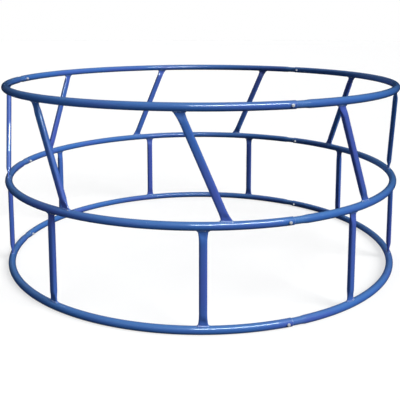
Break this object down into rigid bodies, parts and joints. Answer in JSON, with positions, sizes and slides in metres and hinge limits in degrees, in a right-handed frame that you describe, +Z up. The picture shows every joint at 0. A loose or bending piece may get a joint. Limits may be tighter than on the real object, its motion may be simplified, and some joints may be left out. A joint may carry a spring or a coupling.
{
  "type": "round bale feeder",
  "caption": "Round hay feeder for cattle: three bolted sections of painted steel tube, with slanted feeding bars above and upright posts below.",
  "frame": {"origin": "on the ring's axis, on the ground that the bottom ring stands on", "axes": "+Z up along the ring's axis; -Y faces the viewer at the picture's front post; the front joint is 20 degrees round from -Y towards +X"},
  "size_m": [2.4374, 2.4374, 1.118],
  "materials": {
    "ring_paint": "glossy mid-blue enamel on rolled round tube, brighter where it faces the sky",
    "bar_paint": "glossy mid-blue enamel on pressed oval tube",
    "zinc_plate": "bright zinc plating"
  },
  "bodies": {
    "root": {"top_ring_a": "ring_paint", "middle_ring_a": "ring_paint", "bottom_ring_a": "ring_paint", "slant_bar_a1": "bar_paint", "post_a1": "bar_paint", "slant_bar_a2": "bar_paint", "post_a2": "bar_paint", "slant_bar_a3": "bar_paint", "post_a3": "bar_paint", "top_ring_b": "ring_paint", "middle_ring_b": "ring_paint", "bottom_ring_b": "ring_paint", "slant_bar_b1": "bar_paint", "post_b1": "bar_paint", "slant_bar_b2": "bar_paint", "post_b2": "bar_paint", "slant_bar_b3": "bar_paint", "post_b3": "bar_paint", "top_ring_c": "ring_paint", "middle_ring_c": "ring_paint", "bottom_ring_c": "ring_paint", "slant_bar_c1": "bar_paint", "post_c1": "bar_paint", "slant_bar_c2": "bar_paint", "post_c2": "bar_paint", "slant_bar_c3": "bar_paint", "post_c3": "bar_paint", "bolt_top_ab": "zinc_plate", "nut_top_ab": "zinc_plate", "bolt_middle_ab": "zinc_plate", "nut_middle_ab": "zinc_plate", "bolt_bottom_ab": "zinc_plate", "nut_bottom_ab": "zinc_plate", "bolt_top_bc": "zinc_plate", "nut_top_bc": "zinc_plate", "bolt_middle_bc": "zinc_plate", "nut_middle_bc": "zinc_plate", "bolt_bottom_bc": "zinc_plate", "nut_bottom_bc": "zinc_plate", "bolt_top_ca": "zinc_plate", "nut_top_ca": "zinc_plate", "bolt_middle_ca": "zinc_plate", "nut_middle_ca": "zinc_plate", "bolt_bottom_ca": "zinc_plate", "nut_bottom_ca": "zinc_plate"}
  },
  "joints": []
}
